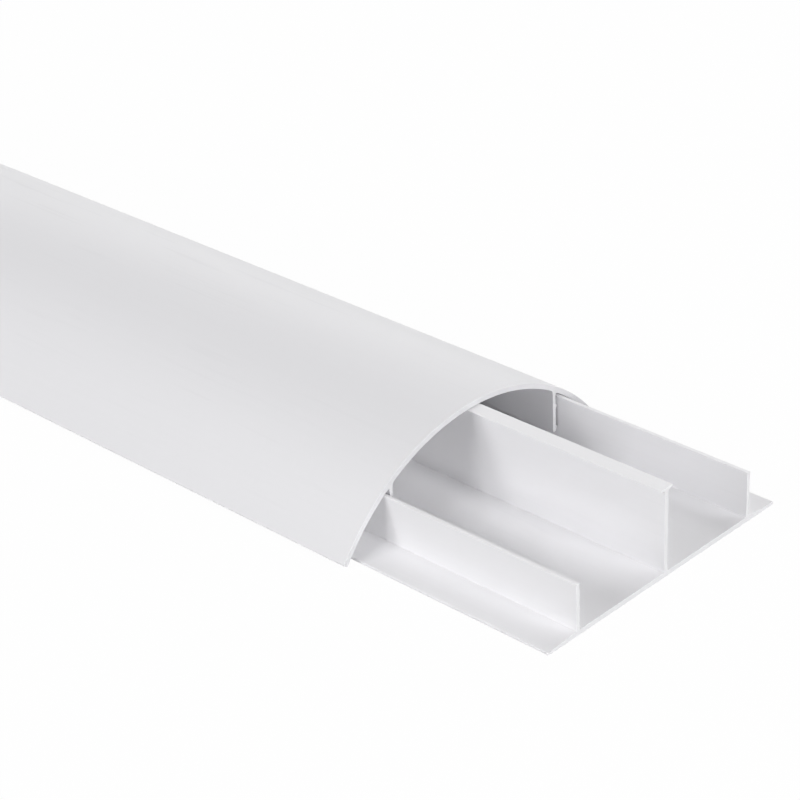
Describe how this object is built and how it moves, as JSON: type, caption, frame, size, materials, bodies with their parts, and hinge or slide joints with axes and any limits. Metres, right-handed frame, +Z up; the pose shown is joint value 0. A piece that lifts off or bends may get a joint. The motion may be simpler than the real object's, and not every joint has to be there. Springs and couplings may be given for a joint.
{
  "type": "cord cover raceway",
  "caption": "Half-round floor raceway of white plastic: an arched cover with clip legs snaps over a flat base whose side walls and taller divider form channels for cords.",
  "frame": {"origin": "centre of the base's flat underside", "axes": "+X along the length, towards the end where the base stands out of the cover; +Z up, away from the floor"},
  "size_m": [1.0477, 0.075, 0.0207],
  "materials": {
    "base_plastic": "satin, as extruded, with sawn ends",
    "cover_plastic": "satin, as extruded, with sawn ends"
  },
  "bodies": {
    "base": {"base": "base_plastic"},
    "cover": {"cover": "cover_plastic"}
  },
  "joints": [
    {"name": "cover_slide", "type": "slide", "parent": "base", "child": "cover", "axis": [1, 0, 0], "range_m": [-0.9523, 0.0477]}
  ]
}
